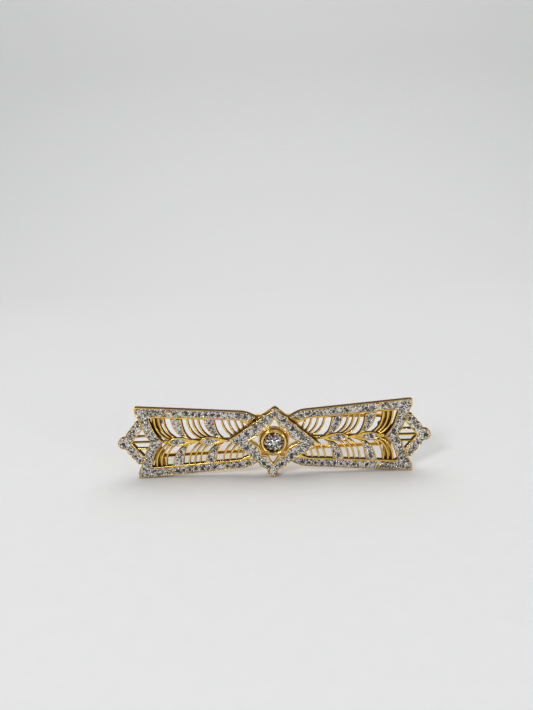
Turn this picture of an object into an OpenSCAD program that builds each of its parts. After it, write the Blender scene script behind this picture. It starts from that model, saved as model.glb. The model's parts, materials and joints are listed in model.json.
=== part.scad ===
// Openwork hair clip: a flat two-wing plaque set with small stones, a raised
// lozenge cluster in the middle, and a hinged wire arm with a roll-over safety
// catch behind it.
//
// Every part is drawn on the plaque's own sheet: x runs along the clip, y up
// it, z towards the viewer, and z = 0 is the front of the two wings. stand()
// then turns the sheet upright, with the lowest point on the ground.

/* [Plaque] */
// Length over the two end fans
clip_length = 60; // [58:0.5:62]
// Half the height at the wing corners
corner_v = 7.1; // [6.9:0.1:7.3]
// Thickness of the wing castings
casting_t = 1.2; // [1:0.1:1.4]
// Depth of the pocket that holds the white facing
pocket_t = 0.5; // [0.4:0.05:0.6]
// Width of the outer gold rim
rim_w = 0.22; // [0.15:0.01:0.28]
// Width of the bright inner rail
rail_w = 0.36; // [0.3:0.02:0.44]

/* [Feather lattice] */
// Radius of each curved rib
rib_bend = 4.3; // [4:0.1:4.6]
// Width of each rib
rib_w = 0.34; // [0.26:0.02:0.42]
// How far the ribs lie below the front
rib_drop = 0.25; // [0.15:0.05:0.4]

/* [Centre cluster] */
// Half the cluster's width, to the middle of its corner stones
cluster_u = 6.95; // [6.8:0.05:7.1]
// Half the cluster's height, to the middle of its corner stones
cluster_v = 5.7; // [5.6:0.05:5.75]
// How far the cluster stands in front of the wings
cluster_t = 1.5; // [1.2:0.1:1.7]
// Turn of the cluster on its wings, clockwise from the front
cluster_turn = 3.95; // [0:0.05:4.5]
// Radius of the centre stone
centre_r = 1.99; // [1.9:0.01:2]

/* [Stones] */
// Radius of the stones along the wings
band_r = 0.54; // [0.45:0.01:0.55]
// Distance between the stones along the wings
band_pitch = 1.22; // [1.2:0.01:1.24]
// Radius of the stones in the swallow tails
tail_r = 0.34; // [0.28:0.01:0.35]
// Radius of the stones in the cluster
cluster_r = 0.65; // [0.5:0.01:0.68]
// Gap all round a stone in its seat
seat_gap = 0.01; // [0.01:0.01:0.03]

/* [Clasp] */
// Distance of the arm's wire behind the front of the wings
arm_d = 4.2; // [4.1:0.1:4.6]
// Radius of the arm's wire
wire_r = 0.4; // [0.36:0.01:0.42]
// Angle by which each leg of the arm closes in
leg_taper = 1.4; // [1.2:0.1:1.6]
// Radius of the hinge pin
pin_r = 0.35; // [0.3:0.01:0.38]
// Radial clearance of the turning parts
running_gap = 0.05; // [0.04:0.01:0.08]

/* [Hidden] */
$fn = 48;
half = clip_length / 2;

// outer edge of a wing: a straight run to the corner and a rounded inner tip
tip = [2.9, 4.25];
shoulder = [6.7, 5.67];
edge_slope = 0.0755;
corner_u = 26.35;

// inner rail of a wing: a straight run, then a dip towards the cluster
rail_start = [6.5, 4.06];
rail_slope = 0.063;
rail_end_u = 23.3;
dip = [5.15, 3.6];
web = [4, 2.8];

// swallow tail: outer and inner edge, from the corner down to the notch
tail_outer = [[corner_u, corner_v], [26.4, 5.9], [25.85, 4.75], [25.4, 3.6], [24.95, 2.4], [24.5, 1.2]];
tail_inner = [[23.7, 4.7], [23.3, 3.4], [22.85, 2.2], [22.1, 1.05]];
outer_notch = [23.6, 0];
inner_notch = [21.2, 0];
tail_rim = 0.28;

// end fan: its window, the scallops along one side, and the lobe at its end
fan_window = [[25, 2.75], [27.3, 0]];
fan_slope = atan2(fan_window[0][1], fan_window[1][0] - fan_window[0][0]);
scallop_from = -0.55;
scallop_length = 1.21;
scallop_count = 3;
scallop_valley = 1.62;
scallop_rise = 0.35;
end_lobe_r = 1.1;
end_lobe = [half - end_lobe_r, 0];
end_lobe_from = 95;
rung_vs = [-1.2, 0, 1.2];
rung_w = 0.24;

// fold where each wing corner laps over its band
fold_top = [19.5, 6.8];
fold_run = 1.9;
fold_fall = 1.7;
fold_w = 0.4;

// leaves and ribs: where each meets the rail
leaf_us = [18.62, 12.3];
rib_us = [22.75, 21.85, 20.95, 16.45, 15.4, 14.35, 9.85, 8.6, 7.35, 6.2];
leaf_half = 1.07;
leaf_reach = 2.65;
leaf_foot = 0.45;
leaf_rim = 0.24;
leaf_stone_t = [0.1, 0.27, 0.45, 0.63];
leaf_stone_r = [0.48, 0.42, 0.33, 0.2];

// navettes on the stem: outer end, inner end, and the stone's place
navettes = [[20.5, 13.7, 18.6], [14.4, 8.5, 12.45]];
navette_h = 1.2;
navette_stone_r = 0.45;
stem_w = 0.6;
stem_t = 0.5;

// depths, all measured towards the viewer from the wings' front
back = -casting_t;
floor_d = -pocket_t;
facing_d = -0.04;
rib_top = -rib_drop;
cluster_floor = cluster_t - pocket_t;
cluster_face = cluster_t - 0.04;

// cluster outline
lobe_r = 0.9;
top_lobe = [cluster_v, 0.85];
bottom_lobe = [cluster_v + 0.3, 0.95];
lobe_rim = 0.2;
cluster_tip = [8.5, 6.4];
cluster_edge = cluster_tip[0] * cluster_tip[1] / norm(cluster_tip);
end_stone = [6.9, 0.5];
small_r = 0.36;
lobes_a_side = 4;
valley_r = 2.9;
long_tips = [1.65, 1.5];
long_tip_angles = [23, 22];
short_tip = 0.6;
short_tip_angle = 13;
tip_sharpness = 1.5;
side_angle = atan2(cluster_u, cluster_v);
star_w = 0.45;
star_from = 0.8;

// centre setting
cup_r = valley_r;
cup_back_r = 2.3;
ring_top = 1.32;
groove = [2.56, 0.95];
collar_r = 2.48;
girdle_d = 1.45;
lip_d = 1.6;
table_d = 2.3;

// clasp: two rear plates, the hinge and the catch
hinge_u = -22.7;
catch_u = 21.9;
plate_half = 0.75;
plate_t = 0.7;
plate_top = 5.15;
plate_back = back - plate_t;
foot_top = 0.8 - corner_v;
foot_back = -4.8;
knuckle_r = 0.75;
ears = [[-6.2, -4.6], [-3.2, -2.6], [2.6, 3.2], [4.6, 5.15]];
arm_eyes = [[-4.5, -3.3], [3.3, 4.5]];
pin_ends = [-6, 5.1];
leg_v = 4;
arm_bend = 1.2;
arm_run = catch_u - hinge_u - arm_bend + arm_bend * sin(leg_taper);
leg_length = arm_run / cos(leg_taper);
bend_v = leg_v - arm_bend * cos(leg_taper) - leg_length * sin(leg_taper);

// safety catch: the guard's rings, the rotor inside them, and its lever
rotor_bore = wire_r + 0.1;
rotor_r = 0.9;
guard_bore = rotor_r + running_gap;
guard_r = 1.35;
guard_v = 1.45;
guard_gap = 0.55;
rotor_slot = 0.48;
guard_slot = 0.54;
guard_foot = [0.7, 3.15];
lever_from = -10;
lever_r = 1.75;
lever_half = 0.26;
knob_r = 0.42;

// where the sheet stands: its lowest point on the ground, its depth centred
front_reach = table_d;
back_reach = arm_d + sqrt(guard_r * guard_r - guard_slot * guard_slot);
mid_y = (front_reach - back_reach) / 2;

GOLD = [0.85, 0.64, 0.25];
WHITE = [0.82, 0.82, 0.84];
STONE = [0.88, 0.91, 0.95];

// ---- curves ----

// Half-height of a wing's outer edge at u
function edge_v(u) =
    u >= shoulder[0] ? min(corner_v, shoulder[1] + edge_slope * (u - shoulder[0]))
    : shoulder[1] - (shoulder[1] - tip[1]) * pow((shoulder[0] - u) / (shoulder[0] - tip[0]), 2);

// Height of the middle of the inner rail at u
function rail_v(u) = rail_start[1] + rail_slope * (u - rail_start[0]);

// Place of the fold across a band at height v
function fold_u(v) = fold_top[0] + fold_run * pow(max(0, fold_top[1] - v) / fold_fall, 1.6);

// A point on the smooth curve through four points, between the middle two
function through(a, b, c, d, t) =
    0.5 * (2 * b + (c - a) * t + (2 * a - 5 * b + 4 * c - d) * t * t + (3 * b - a - 3 * c + d) * t * t * t);

// A smooth curve through a list of points
function smooth(p, steps = 4) = [
    for (i = [0 : len(p) - 2])
        for (k = [0 : steps - 1])
            through(p[max(i - 1, 0)], p[i], p[i + 1], p[min(i + 2, len(p) - 1)], k / steps),
    p[len(p) - 1]
];

// A curve from a to c that is pulled towards b
function pulled(a, b, c, t) = (1 - t) * (1 - t) * a + 2 * t * (1 - t) * b + t * t * c;

function reversed(p) = [for (i = [len(p) - 1 : -1 : 0]) p[i]];
function below(p) = [for (q = reversed(p)) [q[0], -q[1]]];
function moved(p, du) = [for (q = p) [q[0] + du, q[1]]];
function both_halves(p, middle) = concat(p, [middle], below(p));

// The half-width of the tail at height v, by its key points
function tail_out_u(v) = lookup(v, [for (q = concat(tail_outer, [outer_notch])) [q[1], q[0]]]);
function tail_in_u(v) = lookup(v, [for (q = concat(tail_inner, [inner_notch])) [q[1], q[0]]]);

// ---- outlines of one wing, drawn for the right-hand side ----

function edge_points(inset, from_u, to_u) = [
    for (k = [0 : 8]) let (u = from_u + (shoulder[0] - from_u) * pow(k / 8, 1.6)) [u, edge_v(u) - inset],
    for (k = [1 : 4]) let (u = shoulder[0] + (to_u - shoulder[0]) * k / 4) [u, edge_v(u) - inset]
];

function rail_points(side) = [
    [rail_end_u, rail_v(rail_end_u) + side * rail_w / 2],
    [rail_start[0], rail_start[1] + side * rail_w / 2]
];

flat_u = shoulder[0] + (corner_v - shoulder[1]) / edge_slope;
frame_outside = concat(edge_points(0, tip[0], flat_u), smooth(tail_outer));
frame_inside = concat([web, dip - [0, rail_w]], reversed(rail_points(-1)), smooth(tail_inner));

pocket_outside = concat(
    edge_points(rim_w, tip[0] + 0.45, flat_u - 0.5),
    moved([for (q = smooth(tail_outer)) if (q[1] < corner_v - 0.3) q], -tail_rim)
);
pocket_inside = concat(
    [dip + [0, 0.2]],
    reversed(rail_points(1)),
    moved(smooth(tail_inner), tail_rim)
);

module frame_outline() {
    polygon(concat(
        both_halves(frame_outside, outer_notch),
        reversed(both_halves(frame_inside, inner_notch))
    ));
}

module opening_outline() {
    polygon(both_halves(frame_inside, inner_notch));
}

module pocket_outline() {
    polygon(concat(
        both_halves(pocket_outside, outer_notch - [tail_rim, 0]),
        reversed(both_halves(pocket_inside, inner_notch + [tail_rim, 0]))
    ));
}

// Everything outboard of the two folds, moved outwards by shift
module beyond_folds(shift) {
    line = concat(
        [for (k = [0 : 6]) let (v = fold_top[1] + 0.4 - 2.6 * k / 6) [fold_u(v) + shift, v]],
        [[fold_top[0] + shift, fold_top[1] - 2.2]]
    );
    polygon(concat([[half, line[0][1]]], line, below(line), [[half, -line[0][1]]]));
}

module band_outline() {
    difference() {
        pocket_outline();
        beyond_folds(-fold_w / 2);
    }
}

module fold_outline() {
    intersection() {
        pocket_outline();
        difference() {
            beyond_folds(-fold_w / 2);
            beyond_folds(fold_w / 2);
        }
    }
}

module tail_outline() {
    intersection() {
        pocket_outline();
        beyond_folds(fold_w / 2);
    }
}

function leaf_left(u, t) = pulled(
    [u + leaf_half, rail_v(u + leaf_half) - rail_w / 2],
    [u + 0.5, 0.2 * rail_v(u)],
    [u - leaf_reach, leaf_foot],
    t
);
function leaf_right(u, t) = pulled(
    [u - leaf_half, rail_v(u - leaf_half) - rail_w / 2],
    [u - 1.4, 0.26 * rail_v(u)],
    [u - leaf_reach, leaf_foot],
    t
);

// One leaf above the stem; inset pulls its edges in and its tip back
module leaf_outline(u, inset = 0) {
    last = 1 - inset;
    polygon([
        for (k = [0 : 8]) leaf_left(u, last * k / 8) + [-inset, 0],
        for (k = [8 : -1 : 0]) leaf_right(u, last * k / 8) + [inset, 0]
    ]);
}

module leaves_outline(inset = 0) {
    for (u = leaf_us) {
        leaf_outline(u, inset);
        mirror([0, 1])
            leaf_outline(u, inset);
    }
}

// A pointed oval whose widest place is nearer its outer end
function navette_edge(n, h) = [
    for (k = [0 : 12]) let (t = k / 12, a = n[0], b = n[1]) [
        pow(1 - t, 3) * a + 3 * t * pow(1 - t, 2) * (a - 0.2 * (a - b))
            + 3 * t * t * (1 - t) * (a - 0.5 * (a - b)) + pow(t, 3) * b,
        3 * t * pow(1 - t, 2) * h * 1.15 + 3 * t * t * (1 - t) * h * 0.75
    ]
];

module navette_outline(n, h) {
    edge = navette_edge(n, h);
    polygon(concat([for (k = [0 : 11]) edge[k]], below([for (k = [1 : 12]) edge[k]])));
}

module navettes_outline() {
    for (n = navettes)
        navette_outline(n, navette_h);
}

module navette_facings_outline() {
    for (n = navettes)
        navette_outline([n[0] - 0.6, n[0] - 4], navette_h * 0.72);
}

// One rib: straight down from the rail at u, then bending in to the stem
module rib(u) {
    turn = [for (k = [0 : 9]) 10 * k];
    centre = [u - rib_bend, rib_bend];
    outer = [for (a = turn) centre + (rib_bend + rib_w / 2) * [cos(a), -sin(a)]];
    inner = [for (a = turn) centre + (rib_bend - rib_w / 2) * [cos(a), -sin(a)]];
    polygon(concat(
        [[u - rib_w / 2, corner_v], [u + rib_w / 2, corner_v]],
        outer,
        reversed(inner)
    ));
}

module ribs_outline() {
    for (u = rib_us)
        for (v = [0, 1])
            mirror([0, v])
                rib(u);
}

module stem_outline() {
    translate([6, -stem_w / 2])
        square([inner_notch[0] - 6, stem_w]);
}

// ---- end fan ----

// A point beside the window's sloping edge: s along it, h outwards from it
function beside_window(s, h) = fan_window[0]
    + s * [cos(fan_slope), -sin(fan_slope)] + h * [sin(fan_slope), cos(fan_slope)];

function scalloped_edge(inset) = concat(
    [for (i = [0 : scallop_count - 1]) for (k = [0 : 6]) if (i == 0 || k > 0) beside_window(
        scallop_from + scallop_length * (i + k / 6),
        scallop_valley - inset + scallop_rise * sqrt(1 - pow(k / 3 - 1, 2))
    )],
    [for (k = [0 : 4]) let (a = end_lobe_from * (1 - k / 5))
        end_lobe + (end_lobe_r - inset) * [cos(a), sin(a)]]
);

// The wing's whole silhouette, grown outwards along u
module silhouette(grown = 0) {
    polygon(both_halves(moved(frame_outside, grown), outer_notch + [grown, 0]));
}

module fan_window_outline(inset = 0) {
    polygon(both_halves(
        [[shoulder[0], fan_window[0][1] + 1.4 * inset], fan_window[0] + [0, 1.4 * inset]],
        fan_window[1] + [1.4 * inset, 0]
    ));
}

module fan_outline(inset = 0) {
    edge = scalloped_edge(inset);
    difference() {
        polygon(both_halves(concat([[shoulder[0], edge[0][1]]], edge), [half - inset, 0]));
        silhouette(inset);
        fan_window_outline(inset);
    }
}

module rungs_outline() {
    difference() {
        for (v = rung_vs)
            translate([outer_notch[0] - 1, v - rung_w / 2])
                square([fan_window[1][0] + 1.1 - outer_notch[0] - abs(v) / tan(fan_slope), rung_w]);
        silhouette();
    }
}

// ---- cluster ----

module turned() {
    rotate(-cluster_turn)
        children();
}

module rhombus(inset = 0) {
    tip = cluster_tip * (1 - inset / cluster_edge);
    polygon([[tip[0], 0], [0, tip[1]], [-tip[0], 0], [0, -tip[1]]]);
}

// Centres of the cluster's lobes, from one corner to the next, all the way round
function corner(i) = [[cluster_u, 0], [0, cluster_v], [-cluster_u, 0], [0, -cluster_v]][i % 4];
function round_cluster(per_side, first) = [
    for (i = [0 : 3])
        for (k = [0 : per_side - 1])
            let (t = (k + first) / per_side) corner(i) * (1 - t) + corner(i + 1) * t
];

module scallops(inset = 0) {
    rhombus(inset);
    for (c = round_cluster(lobes_a_side, 0))
        if (c[0] != 0 && c[1] != 0)
            translate(c)
                circle(lobe_r - inset);
    translate([0, top_lobe[0]])
        circle(top_lobe[1] - inset);
    translate([0, -bottom_lobe[0]])
        circle(bottom_lobe[1] - inset);
}

// How far one tip of the star reaches out at x degrees from its middle
function reach(x, width, height) = abs(x) < width ? height * pow(1 - abs(x) / width, tip_sharpness) : 0;
function apart(a, b) = abs((a - b + 540) % 360 - 180);
function star_r(a, extra) =
    valley_r + extra
    + reach(apart(a, 0), long_tip_angles[0], long_tips[0] + extra / 3)
    + reach(apart(a, 180), long_tip_angles[0], long_tips[0] + extra / 3)
    + reach(apart(a, 90), long_tip_angles[1], long_tips[1] + extra / 3)
    + reach(apart(a, 270), long_tip_angles[1], long_tips[1] + extra / 3)
    + max([for (s = [side_angle, 180 - side_angle, 180 + side_angle, 360 - side_angle])
        reach(apart(a, s), short_tip_angle, short_tip)]);

module star(extra = 0) {
    polygon([for (a = [0 : 3 : 357]) star_r(a, extra) * [cos(a), sin(a)]]);
}

// ---- building blocks ----

// Turns the sheet upright and puts it in place
module stand() {
    translate([0, mid_y, corner_v])
        rotate([90, 0, 0])
            children();
}

module on_side(side) {
    if (side < 0)
        mirror([1, 0, 0])
            children();
    else
        children();
}

module layer(from_d, to_d) {
    translate([0, 0, from_d])
        linear_extrude(to_d - from_d)
            children();
}

// A small cut stone with its girdle at d; depth limits its point
module stone(p, r, d) {
    point = min(0.42, 0.75 * r);
    translate([p[0], p[1], d])
        rotate_extrude()
            polygon([[0, -point], [r, -0.03], [r, 0.03], [0.6 * r, 0.36 * r], [0, 0.36 * r]]);
}

module stones(places, d) {
    for (p = places)
        stone(p, p[2], d);
}

module seats(places) {
    for (p = places)
        translate([p[0], p[1]])
            circle(p[2] + seat_gap);
}

// A bar along v with a round section, centred on the sheet's x and z
module post(from_v, to_v, r) {
    translate([0, from_v, 0])
        rotate([-90, 0, 0])
            cylinder(h = to_v - from_v, r = r);
}

module block(low, high) {
    translate(low)
        cube(high - low);
}

// ---- where the stones sit: [u, v, radius] ----

function band_mid(u) = (edge_v(u) - rim_w + rail_v(u) + rail_w / 2) / 2;
band_places = concat(
    [[5.35, 4.62, band_r]],
    [for (k = [0 : 10]) let (u = 6.65 + band_pitch * k) [u, band_mid(u), band_r]]
);

tail_half = concat(
    [for (k = [0 : 4]) let (v = 0.85 + 0.95 * k) [tail_in_u(v) + 0.64, v, tail_r]],
    [for (v = [0.55, 1.33, 2.28, 3.22, 4.18]) [tail_out_u(v) - 0.64, v, tail_r]],
    [[25.35, 5.2, tail_r]],
    [for (k = [0 : 5]) let (u = 20.8 + 0.97 * k) [u, edge_v(u) - rim_w - 0.47, tail_r]],
    [for (k = [0 : 1]) let (u = 22.26 + 0.97 * k) [u, rail_v(u) + rail_w / 2 + 0.34, tail_r - 0.04]],
    [[24.25, 5.52, tail_r]]
);
tail_places = concat(
    [[21.98, 0, tail_r], [22.84, 0, tail_r]],
    tail_half,
    [for (p = tail_half) [p[0], -p[1], p[2]]]
);

fan_half = [
    for (i = [0 : scallop_count - 1])
        let (p = beside_window(scallop_from + scallop_length * (i + 0.5), scallop_valley - 0.48))
            [p[0], p[1], 0.46]
];
fan_places = concat(
    fan_half,
    [for (p = fan_half) [p[0], -p[1], p[2]]],
    [[end_lobe[0] - 0.05, 0, 0.66]]
);

leaf_upper = [
    for (u = leaf_us)
        for (k = [0 : 3])
            let (p = (leaf_left(u, leaf_stone_t[k]) + leaf_right(u, leaf_stone_t[k])) / 2)
                [p[0], p[1], leaf_stone_r[k]]
];
leaf_places = concat(leaf_upper, [for (p = leaf_upper) [p[0], -p[1], p[2]]]);

navette_places = [for (n = navettes) [n[2], 0, navette_stone_r]];

cluster_places = concat(
    [for (c = round_cluster(lobes_a_side, 0)) if (c[0] != 0 && c[1] != 0) [c[0], c[1], cluster_r]],
    [for (side = [-1, 1]) [side * end_stone[0], 0, end_stone[1]]],
    [[0, top_lobe[0], top_lobe[1] - lobe_rim - 0.05]],
    [[0, -bottom_lobe[0], bottom_lobe[1] - lobe_rim - 0.1]],
    [for (c = round_cluster(lobes_a_side, 0.5)) [c[0], c[1], small_r]]
);

// ---- wings ----

module wing_frame(side) {
    stand() color(GOLD) difference() {
        layer(back, 0)
            difference() {
                on_side(side) frame_outline();
                turned() rhombus();
            }
        on_side(side)
            layer(floor_d, 1)
                pocket_outline();
    }
}

// The lattice between two depths, clear of whatever its children outline
module lattice_layer(side, from_d, to_d) {
    layer(from_d, to_d)
        difference() {
            on_side(side)
                difference() {
                    union() {
                        intersection() {
                            ribs_outline();
                            opening_outline();
                        }
                        stem_outline();
                    }
                    leaves_outline();
                    children();
                }
            turned() rhombus();
        }
}

module lattice(side) {
    stand() color(GOLD) {
        lattice_layer(side, back, back + stem_t);
        lattice_layer(side, back + stem_t, rib_top)
            navettes_outline();
    }
}

module band(side, half_plane) {
    stand() color(WHITE) on_side(side)
        layer(floor_d, facing_d)
            difference() {
                intersection() {
                    band_outline();
                    translate([0, half_plane > 0 ? 0 : -half])
                        square([half, half]);
                }
                mirror([0, half_plane > 0 ? 0 : 1])
                    seats(band_places);
            }
}

module tail_facing(side) {
    stand() color(WHITE) on_side(side)
        layer(floor_d, facing_d)
            difference() {
                tail_outline();
                seats(tail_places);
            }
}

module folds(side) {
    stand() color(GOLD) on_side(side)
        layer(floor_d, 0.12)
            fold_outline();
}

module fan(side) {
    stand() color(GOLD) on_side(side) {
        difference() {
            layer(back, 0)
                fan_outline();
            layer(floor_d, 1)
                fan_outline(rim_w);
        }
        layer(back, rib_top)
            rungs_outline();
    }
}

module fan_facing(side) {
    stand() color(WHITE) on_side(side)
        layer(floor_d, facing_d)
            difference() {
                fan_outline(rim_w);
                seats(fan_places);
            }
}

module leaf_settings(side) {
    stand() color(GOLD) on_side(side)
        difference() {
            layer(back, 0)
                leaves_outline();
            layer(floor_d, 1)
                leaves_outline(leaf_rim);
        }
}

module leaf_facings(side) {
    stand() color(WHITE) on_side(side)
        layer(floor_d, facing_d)
            difference() {
                leaves_outline(leaf_rim);
                seats(leaf_places);
            }
}

module navette_settings(side) {
    stand() color(GOLD) on_side(side)
        difference() {
            layer(back + stem_t, 0)
                difference() {
                    navettes_outline();
                    leaves_outline();
                }
            layer(floor_d, 1)
                navette_facings_outline();
        }
}

module navette_facings(side) {
    stand() color(WHITE) on_side(side)
        layer(floor_d, facing_d)
            difference() {
                navette_facings_outline();
                seats(navette_places);
            }
}

module set_stones(side, places) {
    stand() color(STONE) on_side(side)
        stones(places, facing_d);
}

module left_wing_frame() wing_frame(-1);
module right_wing_frame() wing_frame(1);
module left_lattice() lattice(-1);
module right_lattice() lattice(1);
module left_upper_band() band(-1, 1);
module right_upper_band() band(1, 1);
module left_lower_band() band(-1, -1);
module right_lower_band() band(1, -1);
module left_tail_facing() tail_facing(-1);
module right_tail_facing() tail_facing(1);
module left_folds() folds(-1);
module right_folds() folds(1);
module left_fan() fan(-1);
module right_fan() fan(1);
module left_fan_facing() fan_facing(-1);
module right_fan_facing() fan_facing(1);
module left_leaf_settings() leaf_settings(-1);
module right_leaf_settings() leaf_settings(1);
module left_leaf_facings() leaf_facings(-1);
module right_leaf_facings() leaf_facings(1);
module left_navette_settings() navette_settings(-1);
module right_navette_settings() navette_settings(1);
module left_navette_facings() navette_facings(-1);
module right_navette_facings() navette_facings(1);

module left_band_stones() set_stones(-1, concat(band_places, [for (p = band_places) [p[0], -p[1], p[2]]]));
module right_band_stones() set_stones(1, concat(band_places, [for (p = band_places) [p[0], -p[1], p[2]]]));
module left_tail_stones() set_stones(-1, tail_places);
module right_tail_stones() set_stones(1, tail_places);
module left_fan_stones() set_stones(-1, fan_places);
module right_fan_stones() set_stones(1, fan_places);
module left_leaf_stones() set_stones(-1, leaf_places);
module right_leaf_stones() set_stones(1, leaf_places);
module left_navette_stones() set_stones(-1, navette_places);
module right_navette_stones() set_stones(1, navette_places);

// ---- centre cluster ----

module cluster_base() {
    stand() color(GOLD) layer(back, 0) turned()
        difference() {
            rhombus();
            star(star_w);
        }
}

module cluster_wall() {
    stand() color(GOLD)
        difference() {
            layer(0, cluster_t)
                turned()
                    difference() {
                        scallops();
                        star(star_w);
                    }
            layer(cluster_floor, cluster_t + 1)
                turned()
                    scallops(lobe_rim);
        }
}

module cluster_facing() {
    stand() color(WHITE) layer(cluster_floor, cluster_face) turned()
        difference() {
            scallops(lobe_rim);
            star(star_w);
            seats(cluster_places);
        }
}

module star_rim() {
    stand() color(GOLD) layer(star_from, cluster_t) turned()
        difference() {
            star(star_w);
            star();
        }
}

module cluster_stones() {
    stand() color(STONE) rotate([0, 0, -cluster_turn])
        stones(cluster_places, cluster_face);
}

module bezel_cup() {
    stand() color(GOLD) rotate_extrude()
        polygon([
            [1.75, back], [cup_back_r, back], [cup_back_r, 0.6], [cup_r, 0.95], [cup_r, ring_top - 0.12], [cup_r - 0.08, ring_top],
            [groove[0] + 0.08, ring_top], [groove[0], groove[1]], [collar_r, groove[1]], [collar_r, lip_d],
            [centre_r + 0.01, lip_d], [centre_r + 0.01, girdle_d - 0.05], [1.75, 1.1]
        ]);
}

module bezel_lip() {
    stand() color(GOLD) rotate_extrude()
        polygon([
            [centre_r + 0.01, lip_d], [collar_r, lip_d], [collar_r - 0.05, 1.9], [2.3, 2.08],
            [2.12, 2.08], [1.97, 1.94], [1.9, 1.72]
        ]);
}

module centre_stone() {
    stand() color(STONE) rotate_extrude()
        polygon([
            [0, -0.2], [centre_r, girdle_d], [centre_r, girdle_d + 0.12], [0.57 * centre_r, table_d], [0, table_d]
        ]);
}

// ---- clasp ----

module rear_plate(u) {
    stand() color(GOLD) translate([u, 0, 0]) {
        block([-plate_half, -corner_v, plate_back], [plate_half, plate_top, back]);
        block([-plate_half, -corner_v, foot_back], [plate_half, foot_top, plate_back]);
    }
}

module hinge_plate() rear_plate(hinge_u);
module catch_plate() rear_plate(catch_u);

module hinge_ears() {
    stand() color(GOLD) translate([hinge_u, 0, 0])
        for (e = ears)
            difference() {
                union() {
                    translate([0, 0, -arm_d])
                        post(e[0], e[1], knuckle_r);
                    block([-0.5, e[0], -arm_d], [0.5, e[1], plate_back]);
                }
                translate([0, 0, -arm_d])
                    post(e[0] - 1, e[1] + 1, pin_r + seat_gap);
            }
}

module hinge_pin() {
    stand() color(GOLD) translate([hinge_u, 0, -arm_d])
        post(pin_ends[0], pin_ends[1], pin_r);
}

module arm_eyes() {
    stand() color(GOLD) translate([hinge_u, 0, -arm_d])
        for (e = arm_eyes)
            difference() {
                post(e[0], e[1], knuckle_r);
                post(e[0] - 1, e[1] + 1, pin_r + running_gap);
            }
}

module clasp_arm() {
    bend_u = catch_u - arm_bend;
    stand() color(GOLD) translate([0, 0, -arm_d])
        difference() {
            union() {
                translate([catch_u, 0, 0])
                    post(-bend_v, bend_v, wire_r);
                for (v = [0, 1])
                    mirror([0, v, 0])
                        translate([bend_u, bend_v, 0]) {
                            rotate_extrude(angle = 90 - leg_taper)
                                translate([arm_bend, 0])
                                    circle(wire_r);
                            rotate([0, 0, 90 - leg_taper])
                                translate([arm_bend, 0, 0])
                                    post(0, leg_length, wire_r);
                        }
            }
            translate([hinge_u, 0, 0])
                post(-corner_v, corner_v, knuckle_r);
        }
}

module catch_guard() {
    stand() color(GOLD) translate([catch_u, 0, 0])
        difference() {
            union() {
                for (v = [guard_gap, -guard_v])
                    translate([0, 0, -arm_d])
                        post(v, v + guard_v - guard_gap, guard_r);
                block([-guard_foot[0], -guard_v, -guard_foot[1]], [guard_foot[0], guard_v, plate_back]);
            }
            translate([0, 0, -arm_d])
                post(-guard_v - 1, guard_v + 1, guard_bore);
            block([-guard_slot, -guard_v - 1, -arm_d - 2], [guard_slot, guard_v + 1, -arm_d]);
        }
}

module catch_rotor() {
    stand() color(GOLD) translate([catch_u, 0, -arm_d])
        difference() {
            post(-guard_v, guard_v, rotor_r);
            post(-guard_v - 1, guard_v + 1, rotor_bore);
            block([-rotor_slot, -guard_v - 1, -2], [rotor_slot, guard_v + 1, 0]);
        }
}

module catch_lever() {
    stand() color(GOLD) translate([catch_u, 0, -arm_d])
        difference() {
            rotate([0, lever_from, 0]) {
                block([0, -lever_half, -lever_half], [lever_r, lever_half, lever_half]);
                translate([lever_r, 0, 0])
                    sphere(knob_r);
            }
            post(-1, 1, rotor_r);
        }
}

left_wing_frame();
right_wing_frame();
left_lattice();
right_lattice();
left_upper_band();
right_upper_band();
left_lower_band();
right_lower_band();
left_tail_facing();
right_tail_facing();
left_folds();
right_folds();
left_fan();
right_fan();
left_fan_facing();
right_fan_facing();
left_leaf_settings();
right_leaf_settings();
left_leaf_facings();
right_leaf_facings();
left_navette_settings();
right_navette_settings();
left_navette_facings();
right_navette_facings();
left_band_stones();
right_band_stones();
left_tail_stones();
right_tail_stones();
left_fan_stones();
right_fan_stones();
left_leaf_stones();
right_leaf_stones();
left_navette_stones();
right_navette_stones();
cluster_base();
cluster_wall();
cluster_facing();
star_rim();
cluster_stones();
bezel_cup();
bezel_lip();
centre_stone();
hinge_plate();
hinge_ears();
hinge_pin();
clasp_arm();
arm_eyes();
catch_plate();
catch_guard();
catch_rotor();
catch_lever();
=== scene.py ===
# %% [markdown]
# # A gold openwork hair clip set with small cut stones
# The clip is a slim bar about 60 mm long. Two wings of yellow gold openwork meet behind a
# scalloped centre cluster, and pave-set stones line every border. The shapes with real sizes
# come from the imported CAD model, called the frame. This lesson adds what a jeweller adds after
# casting: rounded and polished edges, a grain-set surface, cut stones and a sprung wire.
# Everything is in metres, and the face of the clip looks along -Y.

# %% Load the frame
import json
import math

import bmesh
import bpy
import numpy as np
from mathutils import Matrix, Vector


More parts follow.
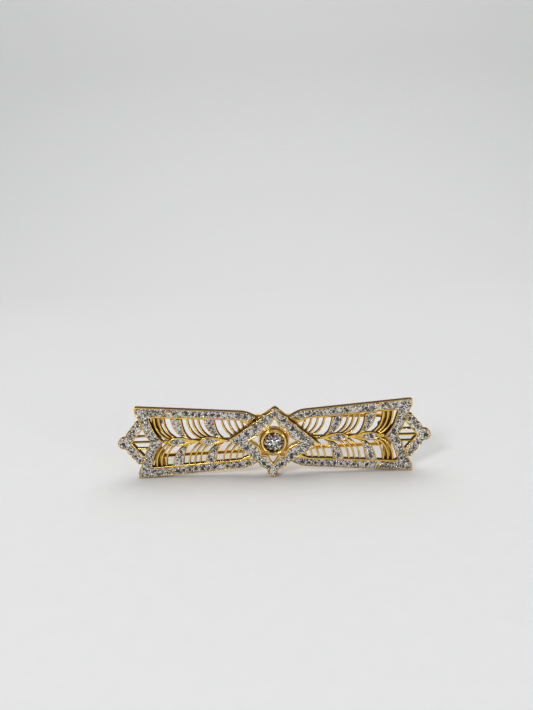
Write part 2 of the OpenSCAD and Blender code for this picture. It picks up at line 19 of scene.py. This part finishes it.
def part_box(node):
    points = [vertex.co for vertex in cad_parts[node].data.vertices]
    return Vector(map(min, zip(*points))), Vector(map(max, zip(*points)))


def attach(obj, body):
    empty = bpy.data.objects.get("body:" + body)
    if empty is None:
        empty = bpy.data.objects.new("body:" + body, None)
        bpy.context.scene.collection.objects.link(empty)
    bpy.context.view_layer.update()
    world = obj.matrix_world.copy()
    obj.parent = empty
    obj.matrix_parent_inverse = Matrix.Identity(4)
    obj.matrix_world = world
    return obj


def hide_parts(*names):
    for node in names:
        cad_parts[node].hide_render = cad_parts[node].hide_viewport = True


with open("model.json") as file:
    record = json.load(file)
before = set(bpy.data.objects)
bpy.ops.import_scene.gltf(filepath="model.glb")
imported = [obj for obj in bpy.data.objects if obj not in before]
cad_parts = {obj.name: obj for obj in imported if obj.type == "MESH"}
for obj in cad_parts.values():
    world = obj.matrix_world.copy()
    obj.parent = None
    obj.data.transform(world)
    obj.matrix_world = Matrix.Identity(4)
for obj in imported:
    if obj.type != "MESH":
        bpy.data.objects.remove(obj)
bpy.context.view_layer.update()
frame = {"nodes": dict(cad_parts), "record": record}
MM = 0.001
bodies = frame["record"]["behaviour"]["bodies"]
body_of = {node: body for body, nodes in bodies.items() for node in nodes}


# %% [markdown]
# ## The camera
# A phone held a hand's length from the clip, a little above it and looking slightly down. The
# lens is given in millimetres for a sensor 36 mm tall, and the small roll makes the bar drop a
# little towards the left. The camera's own axes are built from pitch, yaw and roll, which are
# how far it looks down, how far it looks aside and how far it leans.

# %% Camera
def camera_at(place_mm, pitch, yaw, roll, lens_mm):
    """Camera from its place and three angles in degrees. Forward is the level heading tipped
    down by pitch; right and up are then turned about forward by roll."""
    p, y, r = (math.radians(a) for a in (pitch, yaw, roll))
    level = np.array((-math.sin(y), math.cos(y), 0.0))
    forward = math.cos(p) * level - math.sin(p) * np.array((0.0, 0.0, 1.0))
    right = np.array((math.cos(y), math.sin(y), 0.0))
    up = np.cross(right, forward)
    right, up = math.cos(r) * right - math.sin(r) * up, math.sin(r) * right + math.cos(r) * up
    data = bpy.data.cameras.new("phone_camera")
    data.lens, data.sensor_width = lens_mm, 36.0
    data.clip_start, data.clip_end = 0.005, 20.0
    cam = bpy.data.objects.new("phone_camera", data)
    axes = Matrix([list(row) for row in np.array((right, up, -forward)).T])
    cam.matrix_world = Matrix.Translation(Vector(place_mm) * MM) @ axes.to_4x4()
    bpy.context.scene.collection.objects.link(cam)
    bpy.context.scene.camera = cam
    return cam


camera = camera_at((1.0, -107.27, 42.8), pitch=10.33, yaw=0.97, roll=2.13, lens_mm=29.26)
bpy.context.scene.view_settings.view_transform = "Standard"
print("camera at", [round(c / MM, 1) for c in camera.location], "mm")

# %% [markdown]
# ## Two helpers for every material
# Colours are written as the hex values seen on a screen. A shader works in linear light, so one
# function converts them. The other adds a node: plain values are set on its sockets, and values
# that are sockets themselves become links.

# %% Colour and node helpers
def linear(code):
    """Screen hex to linear light: divide by 12.92 near black, else ((c + 0.055) / 1.055) ** 2.4."""
    c = np.array([int(code[i:i + 2], 16) for i in (0, 2, 4)]) / 255
    return (*np.where(c <= 0.04045, c / 12.92, ((c + 0.055) / 1.055) ** 2.4).tolist(), 1.0)


def add(tree, kind, inputs=None, **settings):
    """Adds one node, sets its properties, then fills or links its sockets."""
    made = tree.nodes.new("ShaderNode" + kind)
    for name, value in settings.items():
        setattr(made, name, value)
    for socket, value in (inputs or {}).items():
        if isinstance(value, bpy.types.NodeSocket):
            tree.links.new(value, made.inputs[socket])
        else:
            made.inputs[socket].default_value = value
    return made


def new_material(name):
    """An empty material with its output, ready for nodes."""
    made = bpy.data.materials.new(name)
    made.use_nodes = True
    made.node_tree.nodes.clear()
    return made, made.node_tree


def finish_material(tree, surface):
    add(tree, "OutputMaterial", {"Surface": surface})


# %% [markdown]
# ## Polished yellow gold
# The metal is cast 18 carat yellow gold. The polishing wheel reaches the front faces and their
# rounded edges, so they are bright and slightly uneven. It can't reach the upright walls and
# the corners behind, which keep the brown skin of casting and a trace of polishing paste. The
# brown there is also painted shade: walls that turn away from the front and deep corners are
# painted as dark as they look in shadow. So the colour is mixed from three things: how far a
# face turns away from the front (the piece's own normal), how deep a corner is (ambient
# occlusion over 0.5 mm, painted shade in the corners), and soft clouds 1.2 mm wide. Where the
# brown skin and painted shade are, less bare metal shows and the surface is duller.

# %% Yellow gold
def gold(name, bright, deep, wall, roughness, wall_skin_and_shade_share, corner_patina_and_shade_share):
    """Metal whose colour goes from bright to deep with soft clouds, and to a brownish wall colour
    on upright sides and in corners, partly casting skin and partly painted shade. The two shares
    say how much of that wall colour walls and corners get."""
    made, tree = new_material(name)
    where = add(tree, "TexCoord")
    clouds = add(tree, "TexNoise", {"Vector": where.outputs["Object"], "Scale": 1 / (1.2 * MM),
                                    "Detail": 3.0})
    fine = add(tree, "TexNoise", {"Vector": where.outputs["Object"], "Scale": 1 / (0.12 * MM),
                                  "Detail": 2.0})
    cloudy = add(tree, "MapRange", {"Value": clouds.outputs["Fac"], "From Min": 0.3,
                                    "From Max": 0.75})
    base = add(tree, "Mix", {"Factor": cloudy.outputs["Result"], "A": linear(bright),
                             "B": linear(deep)}, data_type="RGBA")
    # Painted shade: faces turning away from the front take the wall colour, partly casting skin and
    # partly the shade these walls fall into.
    normal = add(tree, "SeparateXYZ", {"Vector": where.outputs["Normal"]})
    facing = add(tree, "Math", {0: normal.outputs["Y"]}, operation="ABSOLUTE")
    side = add(tree, "MapRange", {"Value": facing.outputs["Value"], "From Min": 0.25,
                                  "From Max": 0.88, "To Min": wall_skin_and_shade_share, "To Max": 0.0},
               interpolation_type="SMOOTHSTEP")
    # Painted shade: deep corners found by ambient occlusion take the wall colour, partly patina and
    # polishing paste, partly painted shade.
    corner = add(tree, "AmbientOcclusion", {"Distance": 0.5 * MM}, samples=4)
    corner_patina_and_shade = add(tree, "MapRange", {"Value": corner.outputs["AO"], "From Min": 0.25,
                                    "From Max": 0.85, "To Min": corner_patina_and_shade_share, "To Max": 0.0})
    skin_and_shade = add(tree, "Math", {0: side.outputs["Result"], 1: corner_patina_and_shade.outputs["Result"]},
                operation="MAXIMUM")
    colour = add(tree, "Mix", {"Factor": skin_and_shade.outputs["Value"], "A": base.outputs["Result"],
                               "B": linear(wall)}, data_type="RGBA")
    rough = add(tree, "MapRange", {"Value": fine.outputs["Fac"], "To Min": roughness * 0.7,
                                   "To Max": roughness * 1.5})
    rougher = add(tree, "Math", {0: skin_and_shade.outputs["Value"], 1: 0.35, 2: rough.outputs["Result"]},
                  operation="MULTIPLY_ADD")
    bare = add(tree, "Math", {0: skin_and_shade.outputs["Value"], 1: -0.6, 2: 1.0},
               operation="MULTIPLY_ADD")
    bump = add(tree, "Bump", {"Height": fine.outputs["Fac"], "Strength": 0.12,
                              "Distance": 0.02 * MM})
    metal = add(tree, "BsdfPrincipled", {"Base Color": colour.outputs["Result"],
                                         "Metallic": bare.outputs["Value"],
                                         "Roughness": rougher.outputs["Value"],
                                         "Normal": bump.outputs["Normal"],
                                         "Specular Tint": linear("D8A860")})
    finish_material(tree, metal.outputs["BSDF"])
    return made


# The wall colours below are partly casting skin and partly painted shade on walls and in corners.
cast_gold = gold("cast_yellow_gold_polished", bright="FFD870", deep="E0A33A", wall="42220A",
                 roughness=0.16, wall_skin_and_shade_share=1.0, corner_patina_and_shade_share=0.9)
setting_gold = gold("cast_yellow_gold_bright_cut", bright="FFE088", deep="E8B048", wall="6A3A0C",
                    roughness=0.13, wall_skin_and_shade_share=0.4, corner_patina_and_shade_share=0.55)
wire_gold = gold("drawn_gold_wire", bright="F8D074", deep="E6B24C", wall="7A4C1C",
                 roughness=0.2, wall_skin_and_shade_share=0.15, corner_patina_and_shade_share=0.4)
print("gold materials:", cast_gold.name, setting_gold.name, wire_gold.name)

# %% [markdown]
# ## Grain-set white metal
# The borders are faced with rhodium-bright white gold. The setter raises small grains with a
# graver and cuts bright grooves between the stones, so the metal there is never flat. A cell
# pattern 0.22 mm wide gives each cut its own tilt and a painted reflection from near white to
# charcoal, as if the cut caught a lamp or mirrored a dark part of the room.

# %% White gold
def grain_metal(name, cell_mm, tilt):
    """Bright white metal whose tilt changes from one graver cut to the next, and whose colour
    is a painted reflection, charcoal to white, for each cut.
    """
    made, tree = new_material(name)
    where = add(tree, "TexCoord")
    cuts = add(tree, "TexVoronoi", {"Vector": where.outputs["Object"], "Scale": 1 / (cell_mm * MM)})
    painted_reflection = add(tree, "SeparateColor", {"Color": cuts.outputs["Color"]})
    # Painted reflections: each cut gets a grey from charcoal to near white, as if it mirrored a
    # dark room or caught a lamp.
    ramp = add(tree, "ValToRGB", {"Fac": painted_reflection.outputs["Red"]})
    stops = ((0.0, "231E19"), (0.28, "857B70"), (0.52, "E2DCD2"), (1.0, "FFFDF7"))
    while len(ramp.color_ramp.elements) < len(stops):
        ramp.color_ramp.elements.new(0.5)
    for element, (place, code) in zip(ramp.color_ramp.elements, stops):
        element.position, element.color = place, linear(code)
    bump = add(tree, "Bump", {"Height": cuts.outputs["Distance"], "Strength": tilt,
                              "Distance": 0.08 * MM})
    metal = add(tree, "BsdfPrincipled", {"Base Color": ramp.outputs["Color"], "Metallic": 1.0,
                                         "Roughness": 0.24, "Normal": bump.outputs["Normal"]})
    finish_material(tree, metal.outputs["BSDF"])
    return made


facing_metal = grain_metal("rhodium_white_gold_grain_set", cell_mm=0.22, tilt=0.8)
bead_metal = grain_metal("rhodium_white_gold_beads", cell_mm=0.35, tilt=0.15)
print("white metals:", facing_metal.name, bead_metal.name)

# %% [markdown]
# ## Cut stones
# A cut stone is clear, but face up it never looks clear: each facet throws back either a lamp
# or a dark part of the room. Those patches are what the eye reads as sparkle. Here each facet
# carries a painted reflection, a grey from black to white, as a colour attribute, and keeps a
# real glassy gloss on top. The gloss comes from a refractive index near 2, between lead crystal
# and diamond.

# %% Stone material
def cut_stone(name, ior):
    """Glossy facets, each painted with the reflection stored in the mesh as a colour attribute."""
    made, tree = new_material(name)
    painted_reflection = add(tree, "VertexColor", layer_name="facet_painted_reflection")
    where = add(tree, "TexCoord")
    haze = add(tree, "TexNoise", {"Vector": where.outputs["Object"], "Scale": 1 / (0.4 * MM),
                                  "Detail": 1.0})
    rough = add(tree, "MapRange", {"Value": haze.outputs["Fac"], "To Min": 0.02, "To Max": 0.1})
    glass = add(tree, "BsdfPrincipled", {"Base Color": painted_reflection.outputs["Color"], "Metallic": 0.35,
                                         "IOR": ior, "Roughness": rough.outputs["Result"]})
    finish_material(tree, glass.outputs["BSDF"])
    return made


small_stone_finish = cut_stone("cut_crystal_small", ior=1.9)
centre_stone_finish = cut_stone("cut_crystal_centre", ior=2.1)
print("stone materials:", small_stone_finish.name, centre_stone_finish.name)

# %% [markdown]
# ## Softened castings
# A cast edge is never sharp: the wheel rounds it by about a tenth of a millimetre, and that
# round is where gold shows its brightest line. Each gold node is copied, its loose triangles
# are merged, and a Bevel modifier rounds every edge sharper than 32 degrees. The flat areas stay
# in triangles: joining them into large faces with holes would fill the openwork. The copy
# stands for the CAD node, which stays underneath for the physics.

# %% Softened copies of the gold nodes
EDGE_ANGLE = math.radians(32)


def softened(node, width_mm, finish):
    """Merged copy of a CAD node with rounded edges. The round is width_mm wide, and a width of
    0 leaves the node's edges as they are."""
    shape = bmesh.new()
    shape.from_mesh(frame["nodes"][node].data)
    bmesh.ops.remove_doubles(shape, verts=shape.verts, dist=1e-7)
    data = bpy.data.meshes.new(node + "_polished")
    shape.to_mesh(data)
    shape.free()
    data.polygons.foreach_set("use_smooth", np.ones(len(data.polygons), bool))
    data.set_sharp_from_angle(angle=EDGE_ANGLE)
    data.materials.clear()
    data.materials.append(finish)
    piece = bpy.data.objects.new(node + "_polished", data)
    bpy.context.scene.collection.objects.link(piece)
    if width_mm:
        edge = piece.modifiers.new("worn_edge", "BEVEL")
        edge.width, edge.segments = width_mm * MM, 2
        edge.limit_method, edge.angle_limit = "ANGLE", EDGE_ANGLE
        edge.use_clamp_overlap, edge.harden_normals = False, True
    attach(piece, body_of[node])
    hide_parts(node)
    return piece


edge_widths = {"wing_frame": 0.1, "lattice": 0.09, "folds": 0.11, "fan": 0.08,
               "leaf_settings": 0.07, "navette_settings": 0.08}
for side in ("left", "right"):
    for part, width in edge_widths.items():
        softened(f"{side}_{part}", width, cast_gold)
cast_widths = {"cluster_wall": 0.08, "hinge_plate": 0.1, "catch_plate": 0.1, "hinge_ears": 0.08,
               "catch_guard": 0.1}
setting_widths = {"cluster_base": 0.08, "star_rim": 0.13, "bezel_cup": 0.05, "bezel_lip": 0.07}
wire_widths = {"arm_eyes": 0.1, "catch_rotor": 0.06, "hinge_pin": 0.08, "clasp_arm": 0.0,
               "catch_lever": 0.0}
for finish, widths in ((cast_gold, cast_widths), (setting_gold, setting_widths),
                       (wire_gold, wire_widths)):
    for part, width in widths.items():
        softened(part, width, finish)

# %% [markdown]
# ## Finding the stones
# The CAD nodes hold one solid for each stone. Their places are read back from the mesh: corners
# that share a place get one number, and numbers spread along triangles until each solid has
# its own. A solid's box then gives the stone's centre, its front and its radius.

# %% Stone places
def stone_places(node):
    """Rows of centre x, front y, centre z and radius, one for each solid in a CAD stone node."""
    data = frame["nodes"][node].data
    corner = np.empty(len(data.vertices) * 3)
    data.vertices.foreach_get("co", corner)
    corner = corner.reshape(-1, 3)
    triangle = np.empty(len(data.polygons) * 3, int)
    data.polygons.foreach_get("vertices", triangle)
    place, same = np.unique(np.round(corner, 7), axis=0, return_inverse=True)
    triangle = same.ravel()[triangle.reshape(-1, 3)]
    label = np.arange(len(place))
    while True:
        lowest = label[triangle].min(axis=1)
        spread = label.copy()
        for k in range(3):
            np.minimum.at(spread, triangle[:, k], lowest)
        if (spread == label).all():
            break
        label = spread
    found = []
    for one in np.unique(label):
        p = place[label == one]
        low, high = p.min(axis=0), p.max(axis=0)
        found.append(((low[0] + high[0]) / 2, low[1], (low[2] + high[2]) / 2,
                      (high[0] - low[0]) / 2))
    return np.array(found)


stone_nodes = [f"{side}_{part}_stones" for side in ("left", "right")
               for part in ("band", "tail", "fan", "leaf", "navette")] + ["cluster_stones"]
places = {node: stone_places(node) for node in stone_nodes}
print("stones found:", {node: len(p) for node, p in places.items()})

# %% [markdown]
# ## Small brilliants
# Stones this small get the single cut: an octagonal table, eight main facets down to the
# girdle with their corners split, and a plain cone below. That is a few dozen faces, which is
# right for something repeated two hundred times. A stone is a stack of rings, and all stones
# of a node are computed at once as one array: ring shape times radius plus centre.

# %% Small stones
def mesh_piece(name, corners, faces, finish, body, painted_reflections=None, smooth=False):
    """Puts arrays of corners and faces into a mesh, with one painted reflection for each face if
    given.
    """
    data = bpy.data.meshes.new(name)
    data.from_pydata(corners.tolist(), [], faces)
    data.polygons.foreach_set("use_smooth", np.full(len(data.polygons), smooth))
    if painted_reflections is not None:
        layer = data.color_attributes.new("facet_painted_reflection", "FLOAT_COLOR", "CORNER")
        sides = np.array([len(f) for f in faces])
        layer.data.foreach_set("color", np.repeat(painted_reflections, sides, axis=0).astype(np.float32).ravel())
    data.materials.append(finish)
    data.validate()
    piece = bpy.data.objects.new(name, data)
    bpy.context.scene.collection.objects.link(piece)
    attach(piece, body)
    return piece


TABLE, CROWN, GIRDLE, PAVILION = 0.58, 0.34, 0.06, 0.7


def ring(count, radius, y):
    """A ring of corners about the Y axis."""
    turn = np.arange(count) * math.tau / count
    return np.stack((radius * np.cos(turn), np.full(count, y), radius * np.sin(turn)), 1)


def single_cut():
    """Corners and faces of a stone of radius 1 that looks along -Y: a table ring of 8, a
    crown's height in front of the girdle ring of 16, the same ring again one girdle's height
    behind, and a point at the pavilion's depth."""
    corners = np.concatenate((ring(8, TABLE, -CROWN), ring(16, 1.0, 0.0), ring(16, 1.0, GIRDLE),
                              [[0.0, PAVILION, 0.0]]))
    table = [list(range(8))]
    mains, splits = [], []
    for k in range(8):
        a, b = k, (k + 1) % 8
        g = 8 + 2 * k
        mid, after = g + 1, 8 + (2 * k + 2) % 16
        mains.append([a, g, mid])
        splits.append([a, mid, b])
        mains.append([b, mid, after])
    girdle = [[8 + k, 24 + k, 24 + (k + 1) % 16, 8 + (k + 1) % 16] for k in range(16)]
    below = [[24 + (k + 1) % 16, 24 + k, 40] for k in range(16)]
    return corners, table, mains + splits, girdle + below


def outward(corners, faces):
    """Turns each face so that its normal points away from the middle of its own stone."""
    middle = corners.mean(axis=0)
    turned = []
    for f in faces:
        p = corners[f]
        normal = np.cross(p[1] - p[0], p[2] - p[0])
        turned.append(f if normal @ (p.mean(axis=0) - middle) > 0 else f[::-1])
    return turned


rng = np.random.default_rng(7)
one_corners, one_table, one_crown, one_rest = single_cut()
one_faces = outward(one_corners, one_table + one_crown + one_rest)
print("faces in one small stone:", len(one_faces))


def small_stones(node):
    """All stones of a node in one mesh. Each is turned by its own angle, so no two sparkle
    alike. Every facet carries a painted reflection: tables are mostly dark with a few bright, as
    in a room with few lamps, and the girdle and back are an even grey."""
    spots = places[node]
    n = len(spots)
    turn = rng.uniform(0, math.tau, n)
    c, s = np.cos(turn)[:, None], np.sin(turn)[:, None]
    x, y, z = one_corners.T
    radius = spots[:, 3:4]
    girdle_y = spots[:, 1:2] + CROWN * radius
    corners = np.stack((spots[:, 0:1] + radius * (c * x - s * z), girdle_y + radius * y,
                        spots[:, 2:3] + radius * (s * x + c * z)), 2).reshape(-1, 3)
    faces = [[k + len(one_corners) * i for k in f] for i in range(n) for f in one_faces]
    grey = np.empty((n, len(one_faces)))
    # Painted reflections: tables and crown facets get greys from black to white, as if they
    # mirrored a dark room or a lamp; girdle and back get an even painted grey.
    grey[:, 0] = rng.choice((0.01, 0.03, 0.12, 0.6), n, p=(0.42, 0.25, 0.13, 0.2))
    crown = len(one_crown)
    grey[:, 1:1 + crown] = rng.choice((0.02, 0.2, 0.66, 1.0), (n, crown),
                                      p=(0.24, 0.18, 0.26, 0.32))
    grey[:, 1 + crown:] = 0.3
    grey = grey.ravel()
    painted_reflections = np.stack((grey, grey * 0.96, grey * 0.9, np.ones_like(grey)), 1)
    piece = mesh_piece(node + "_cut", corners, faces, small_stone_finish, body_of[node],
                       painted_reflections)
    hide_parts(node)
    return piece


for node in stone_nodes:
    small_stones(node)
print("small stones made:", sum(len(p) for p in places.values()))

# %% [markdown]
# ## Grains between the stones
# A pave stone is held by grains: tiny domes of metal pushed over its edge. Each stone gets four,
# at the corners between it and its neighbours. A dome is three rings of six corners and a top
# point. The direction to the nearest neighbour sets where the corners are.

# %% Grains
def dome():
    """A half ball of radius 1 looking along -Y: rings at 0, 35 and 65 degrees and a top corner."""
    tilt = np.radians((0, 35, 65))
    turn = np.arange(6) * math.tau / 6
    corners = np.stack((np.outer(np.cos(tilt), np.cos(turn)),
                        -np.outer(np.sin(tilt), np.ones(6)),
                        np.outer(np.cos(tilt), np.sin(turn))), 2).reshape(-1, 3)
    corners = np.concatenate((corners, [[0, -1, 0]]))
    faces = [[6 * r + k, 6 * r + (k + 1) % 6, 6 * r + 6 + (k + 1) % 6, 6 * r + 6 + k]
             for r in range(2) for k in range(6)]
    faces += [[12 + k, 12 + (k + 1) % 6, 18] for k in range(6)] + [list(range(6))]
    return corners, outward(corners, faces)


dome_corners, dome_faces = dome()
GRAIN_DEPTH = 0.30    # how far behind a stone's table its grains start, in stone radii
GRAIN_HEIGHT = 1.3    # height of a grain over its radius


def grains(node, size_mm, reach):
    """Four domes for each stone, at 45 degrees from the line to its nearest neighbour. They
    stand at reach times the stone's radius from its middle."""
    spots = places[node]
    flat = spots[:, (0, 2)]
    gap = np.linalg.norm(flat[:, None] - flat[None], axis=2) + np.eye(len(flat))
    toward = flat[gap.argmin(axis=1)] - flat
    turn = np.arctan2(toward[:, 1], toward[:, 0])[:, None] + np.radians((45, 135, 225, 315))[None]
    turn = turn + rng.normal(0, 0.12, turn.shape)
    away = spots[:, 3:4] * reach
    x = (spots[:, 0:1] + away * np.cos(turn)).ravel()
    z = (spots[:, 2:3] + away * np.sin(turn)).ravel()
    y = np.repeat(spots[:, 1] + GRAIN_DEPTH * spots[:, 3], 4)
    size = size_mm * MM * rng.uniform(0.85, 1.15, len(x))[:, None]
    corners = np.stack((x[:, None] + size * dome_corners[:, 0],
                        y[:, None] + size * dome_corners[:, 1] * GRAIN_HEIGHT,
                        z[:, None] + size * dome_corners[:, 2]), 2).reshape(-1, 3)
    faces = [[k + len(dome_corners) * i for k in f] for i in range(len(x)) for f in dome_faces]
    return mesh_piece(node.replace("stones", "grains"), corners, faces, bead_metal,
                      body_of[node], smooth=True)


for node in stone_nodes:
    grains(node, size_mm=0.15, reach=1.0)
print("grains made:", 4 * sum(len(p) for p in places.values()))

# %% [markdown]
# ## The centre brilliant
# The centre stone is a round brilliant. Seen face up it shows a ring of short bright and dark
# wedges round the edge and a broken star in the middle, which are the facets below seen through
# the ones above. They are modelled as what the eye gets: rings of small facets, each with its own
# tilt and a painted reflection, with a few painted flashes of fire, under the outline of table,
# crown and girdle.

# %% Centre stone
def centre_brilliant():
    """Rings of corners from the middle out. Radius and height follow the crown: flat over the
    table to 0.56 of the radius, then down in a straight slope to the girdle. Alternate corners
    are lifted a little so that neighbouring facets catch different light."""
    low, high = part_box("centre_stone")
    middle_x, middle_z = (low[0] + high[0]) / 2, (low[2] + high[2]) / 2
    radius, front = (high[0] - low[0]) / 2, low[1]
    spokes, inset = 32, 0.03
    rings = np.array((0.2, 0.38, 0.56, 0.78, 1.0))
    drop = np.array((0.0, 0.0, 0.0, 0.18, 0.36))
    turn = np.arange(spokes) * math.tau / spokes
    lift = 0.02 * np.cos(turn * 16)[None] * np.array((1, 1, 0, 1.4, 0))[:, None]
    x = middle_x + radius * rings[:, None] * np.cos(turn)[None]
    z = middle_z + radius * rings[:, None] * np.sin(turn)[None]
    y = front + radius * (inset + drop[:, None] + lift)
    top = np.stack((x, y, z), 2).reshape(-1, 3)
    rim = top[-spokes:] + (0.0, GIRDLE * radius, 0.0)
    tip = [[middle_x, front + 1.1 * radius, middle_z]]
    corners = np.concatenate((top, [[middle_x, front + inset * radius, middle_z]], rim, tip))
    middle, first_rim, girdle = len(top), len(top) + 1, 4 * spokes
    pairs = [(k, (k + 1) % spokes) for k in range(spokes)]
    faces = [[k, m, middle] for k, m in pairs]
    for r in range(4):
        a, b = r * spokes, (r + 1) * spokes
        for k, m in pairs:
            if (k + r) % 2:
                faces += [[a + k, b + k, b + m], [a + k, b + m, a + m]]
            else:
                faces += [[a + k, b + k, a + m], [b + k, b + m, a + m]]
    faces += [[girdle + k, first_rim + k, first_rim + m, girdle + m] for k, m in pairs]
    faces += [[first_rim + k, len(corners) - 1, first_rim + m] for k, m in pairs]
    faces = outward(corners, faces)
    n = len(faces)
    # Painted reflections: each facet gets a grey from black to white, as if it mirrored a dark room
    # or a lamp; the inner ring gets bright and mid greys.
    grey = rng.choice((0.005, 0.03, 0.15, 0.6, 1.0), n, p=(0.4, 0.22, 0.1, 0.12, 0.16))
    grey[:spokes] = np.repeat(rng.choice((0.35, 0.75, 0.9), spokes // 4), 4)
    painted_reflections = np.stack((grey, grey * 0.95, grey * 0.93, np.ones(n)), 1)
    # Painted fire: a few facets are painted pink or yellow as flashes of coloured light.
    fire = rng.random(n)
    painted_reflections[fire < 0.025] = linear("C98A93")
    painted_reflections[fire > 0.98] = linear("D8C98E")
    piece = mesh_piece("centre_brilliant", corners, faces, centre_stone_finish, "plaque",
                       painted_reflections)
    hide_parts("centre_stone")
    print("facets in the centre stone:", n, "radius in mm:", round(radius / MM, 2))
    return piece


centre_brilliant()

# %% [markdown]
# ## The facings
# The white gold plates under the stones already have the right shape with a seat for every
# stone, so the CAD nodes stay and only take the grain-set finish with its painted reflections.

# %% White gold facings
for name, node in frame["nodes"].items():
    if node.material_slots and node.material_slots[0].material and not node.hide_render:
        node.material_slots[0].material = facing_metal
        print("facing finish on", name)

# %% [markdown]
# ## Paper sweep
# A seamless sheet of matt white paper lies flat under the clip and curves up behind it. Its
# profile is a straight floor, a quarter circle, then a straight wall, carried sideways.

# %% Floor and backdrop
def paper_sweep():
    """Profile in Y and Z, in metres: floor from the front to the curve, a quarter circle, then
    a wall. The profile is repeated at both sides of the sheet."""
    front, curve_from, bend, top, half_width = -0.9, 0.45, 0.3, 1.3, 1.4
    turn = np.linspace(0, math.pi / 2, 24)
    curve = np.stack((curve_from + bend * np.sin(turn), bend - bend * np.cos(turn)), 1)
    profile = np.concatenate(([[front, 0.0], [0.0, 0.0]], curve, [[curve_from + bend, top]]))
    sides = np.array((-half_width, half_width))
    corners = np.stack((np.repeat(sides, len(profile)), np.tile(profile[:, 0], 2),
                        np.tile(profile[:, 1], 2)), 1)
    n = len(profile)
    faces = [[k, n + k, n + k + 1, k + 1] for k in range(n - 1)]
    data = bpy.data.meshes.new("paper_sweep")
    data.from_pydata(corners.tolist(), [], faces)
    data.polygons.foreach_set("use_smooth", np.ones(len(faces), bool))
    made, tree = new_material("matt_white_paper")
    where = add(tree, "TexCoord")
    fibre = add(tree, "TexNoise", {"Vector": where.outputs["Object"], "Scale": 1 / (3 * MM),
                                   "Detail": 4.0})
    shade = add(tree, "Mix", {"Factor": fibre.outputs["Fac"], "A": linear("EFEFED"),
                              "B": linear("EBEBEA")}, data_type="RGBA")
    sheet = add(tree, "BsdfPrincipled", {"Base Color": shade.outputs["Result"], "Roughness": 0.85,
                                         "Specular IOR Level": 0.2})
    finish_material(tree, sheet.outputs["BSDF"])
    data.materials.append(made)
    sweep = bpy.data.objects.new("paper_sweep", data)
    bpy.context.scene.collection.objects.link(sweep)
    return sweep


paper_sweep()

# %% [markdown]
# ## Soft light
# One large soft box, two small ones and a grey room. The large one is above and behind, so that
# the shadow falls softly towards the front. The small ones in front are there for the metal and
# the stones, which need small bright things to mirror, next to a darker room.

# %% Lights
def soft_box(name, place, aim, size, watts):
    """A square area light that looks from its place to its aim. Lengths are in metres."""
    data = bpy.data.lights.new(name, "AREA")
    data.shape, data.size, data.energy = "SQUARE", size, watts
    lamp = bpy.data.objects.new(name, data)
    lamp.location = place
    lamp.rotation_euler = (Vector(aim) - Vector(place)).to_track_quat("-Z", "Y").to_euler()
    bpy.context.scene.collection.objects.link(lamp)
    return lamp


soft_box("overhead_box", place=(0.05, 0.56, 0.9), aim=(0, 0.3, 0), size=1.4, watts=9.3)
soft_box("front_box", place=(-0.3, -0.55, 0.35), aim=(0, 0, 0), size=0.14, watts=1.9)
soft_box("low_box", place=(0.45, -0.5, 0.12), aim=(0, 0, 0), size=0.1, watts=0.6)
world = bpy.data.worlds.new("grey_room")
world.use_nodes = True
world.node_tree.nodes["Background"].inputs["Color"].default_value = linear("C4C6CA")
world.node_tree.nodes["Background"].inputs["Strength"].default_value = 0.47
bpy.context.scene.world = world
